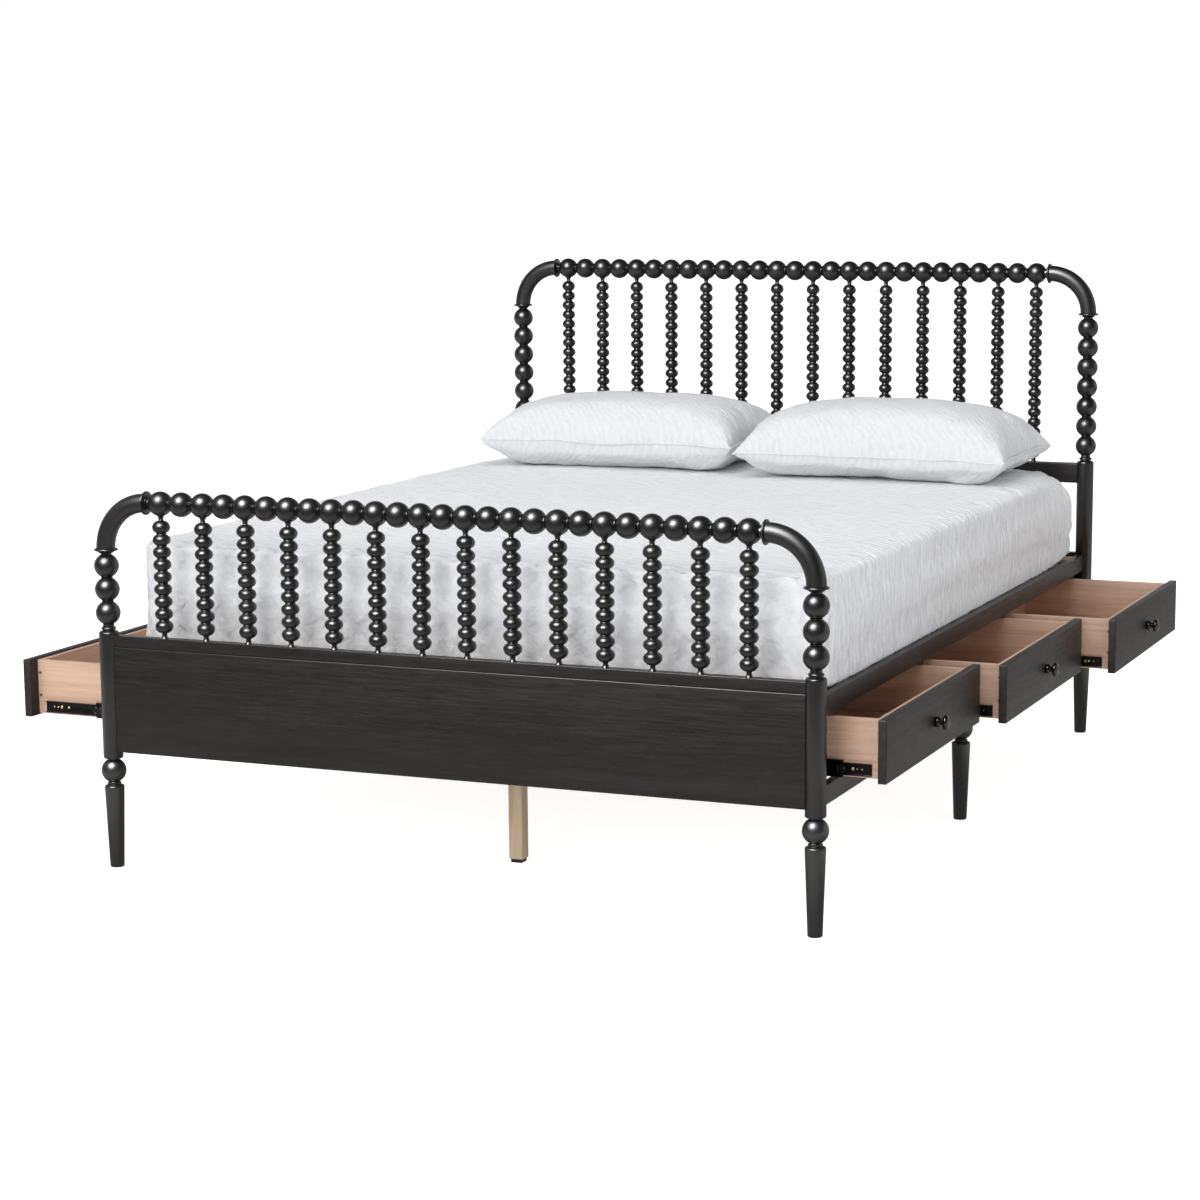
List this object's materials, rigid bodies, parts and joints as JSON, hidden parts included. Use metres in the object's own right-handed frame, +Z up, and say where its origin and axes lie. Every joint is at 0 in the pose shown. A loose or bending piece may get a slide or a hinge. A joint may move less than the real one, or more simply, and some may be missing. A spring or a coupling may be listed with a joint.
{
  "type": "platform bed",
  "caption": "Spindle platform bed with turned bead rails, side drawers on slides, slatted platform, mattress and pillows.",
  "frame": {"origin": "on the floor under the middle of the bed", "axes": "+X to the right as seen from the foot, +Y from foot to headboard, +Z up"},
  "size_m": [2.167, 2.1832, 1.205],
  "materials": {
    "black_lacquer": "satin black lacquer over close-grained wood",
    "black_gloss": "gloss black lacquer",
    "dark_grain": "dark grey stain with visible grain",
    "drawer_wood": "clear sealed light wood",
    "raw_wood": "planed softwood",
    "slat_wood": "planed softwood",
    "black_steel": "black plated steel",
    "bracket_steel": "zinc plated",
    "black_plastic": "moulded",
    "mattress_knit": "quilted knit cover",
    "pillow_cloth": "crinkled cotton"
  },
  "bodies": {
    "bed_frame": {"foot_post_left": "black_lacquer", "foot_post_right": "black_lacquer", "head_post_left": "black_lacquer", "head_post_right": "black_lacquer", "elbows": "black_lacquer", "elbow_collars": "black_lacquer", "foot_top_rail": "black_lacquer", "head_top_rail": "black_lacquer", "foot_spindles": "black_lacquer", "head_spindles": "black_lacquer", "turned_legs": "black_lacquer", "foot_cap_rail": "black_lacquer", "foot_panel": "black_lacquer", "head_middle_rail": "black_lacquer", "head_panel": "black_lacquer", "upper_side_rails": "black_lacquer", "lower_side_rails": "black_lacquer", "stiles": "black_lacquer", "middle_leg_blocks": "raw_wood", "cross_boards": "raw_wood", "centre_beam": "raw_wood", "centre_legs": "raw_wood", "centre_leg_glides": "black_plastic", "slat_ledges": "raw_wood", "slats": "slat_wood", "corner_brackets": "bracket_steel", "slide_cabinet_members": "black_steel"},
    "drawer_left_foot": {"drawer_left_foot_front": "dark_grain", "drawer_left_foot_box": "drawer_wood", "drawer_left_foot_knob": "black_gloss", "drawer_left_foot_slide_rails": "black_steel"},
    "slide_left_foot": {"slide_left_foot_middle_members": "black_steel"},
    "drawer_left_middle": {"drawer_left_middle_front": "dark_grain", "drawer_left_middle_box": "drawer_wood", "drawer_left_middle_knob": "black_gloss", "drawer_left_middle_slide_rails": "black_steel"},
    "slide_left_middle": {"slide_left_middle_middle_members": "black_steel"},
    "drawer_left_head": {"drawer_left_head_front": "dark_grain", "drawer_left_head_box": "drawer_wood", "drawer_left_head_knob": "black_gloss", "drawer_left_head_slide_rails": "black_steel"},
    "slide_left_head": {"slide_left_head_middle_members": "black_steel"},
    "drawer_right_foot": {"drawer_right_foot_front": "dark_grain", "drawer_right_foot_box": "drawer_wood", "drawer_right_foot_knob": "black_gloss", "drawer_right_foot_slide_rails": "black_steel"},
    "slide_right_foot": {"slide_right_foot_middle_members": "black_steel"},
    "drawer_right_middle": {"drawer_right_middle_front": "dark_grain", "drawer_right_middle_box": "drawer_wood", "drawer_right_middle_knob": "black_gloss", "drawer_right_middle_slide_rails": "black_steel"},
    "slide_right_middle": {"slide_right_middle_middle_members": "black_steel"},
    "drawer_right_head": {"drawer_right_head_front": "dark_grain", "drawer_right_head_box": "drawer_wood", "drawer_right_head_knob": "black_gloss", "drawer_right_head_slide_rails": "black_steel"},
    "slide_right_head": {"slide_right_head_middle_members": "black_steel"},
    "mattress": {"mattress": "mattress_knit"},
    "pillow_left": {"pillow_left": "pillow_cloth"},
    "pillow_right": {"pillow_right": "pillow_cloth"}
  },
  "joints": [
    {"name": "drawer_left_foot_slide", "type": "slide", "parent": "bed_frame", "child": "drawer_left_foot", "axis": [-1, 0, 0], "range_m": [-0.261, 0.089]},
    {"name": "slide_left_foot_travel", "type": "slide", "parent": "bed_frame", "child": "slide_left_foot", "axis": [-1, 0, 0], "range_m": [-0.1305, 0.0445]},
    {"name": "drawer_left_middle_slide", "type": "slide", "parent": "bed_frame", "child": "drawer_left_middle", "axis": [-1, 0, 0], "range_m": [-0.1715, 0.1785]},
    {"name": "slide_left_middle_travel", "type": "slide", "parent": "bed_frame", "child": "slide_left_middle", "axis": [-1, 0, 0], "range_m": [-0.08575, 0.08925]},
    {"name": "drawer_left_head_slide", "type": "slide", "parent": "bed_frame", "child": "drawer_left_head", "axis": [-1, 0, 0], "range_m": [-0.114, 0.236]},
    {"name": "slide_left_head_travel", "type": "slide", "parent": "bed_frame", "child": "slide_left_head", "axis": [-1, 0, 0], "range_m": [-0.057, 0.118]},
    {"name": "drawer_right_foot_slide", "type": "slide", "parent": "bed_frame", "child": "drawer_right_foot", "axis": [1, 0, 0], "range_m": [-0.114, 0.236]},
    {"name": "slide_right_foot_travel", "type": "slide", "parent": "bed_frame", "child": "slide_right_foot", "axis": [1, 0, 0], "range_m": [-0.057, 0.118]},
    {"name": "drawer_right_middle_slide", "type": "slide", "parent": "bed_frame", "child": "drawer_right_middle", "axis": [1, 0, 0], "range_m": [-0.1715, 0.1785]},
    {"name": "slide_right_middle_travel", "type": "slide", "parent": "bed_frame", "child": "slide_right_middle", "axis": [1, 0, 0], "range_m": [-0.08575, 0.08925]},
    {"name": "drawer_right_head_slide", "type": "slide", "parent": "bed_frame", "child": "drawer_right_head", "axis": [1, 0, 0], "range_m": [-0.251, 0.099]},
    {"name": "slide_right_head_travel", "type": "slide", "parent": "bed_frame", "child": "slide_right_head", "axis": [1, 0, 0], "range_m": [-0.1255, 0.0495]},
    {"name": "mattress_lift", "type": "slide", "parent": "bed_frame", "child": "mattress", "axis": [0, 0, 1], "range_m": [0, 0.45]},
    {"name": "pillow_left_lift", "type": "slide", "parent": "mattress", "child": "pillow_left", "axis": [0, 0, 1], "range_m": [0, 0.4]},
    {"name": "pillow_right_lift", "type": "slide", "parent": "mattress", "child": "pillow_right", "axis": [0, 0, 1], "range_m": [0, 0.4]}
  ],
  "couplings": [
    {"joint": "slide_left_foot_travel", "follows": "drawer_left_foot_slide", "ratio": 0.5},
    {"joint": "slide_left_middle_travel", "follows": "drawer_left_middle_slide", "ratio": 0.5},
    {"joint": "slide_left_head_travel", "follows": "drawer_left_head_slide", "ratio": 0.5},
    {"joint": "slide_right_foot_travel", "follows": "drawer_right_foot_slide", "ratio": 0.5},
    {"joint": "slide_right_middle_travel", "follows": "drawer_right_middle_slide", "ratio": 0.5},
    {"joint": "slide_right_head_travel", "follows": "drawer_right_head_slide", "ratio": 0.5}
  ]
}
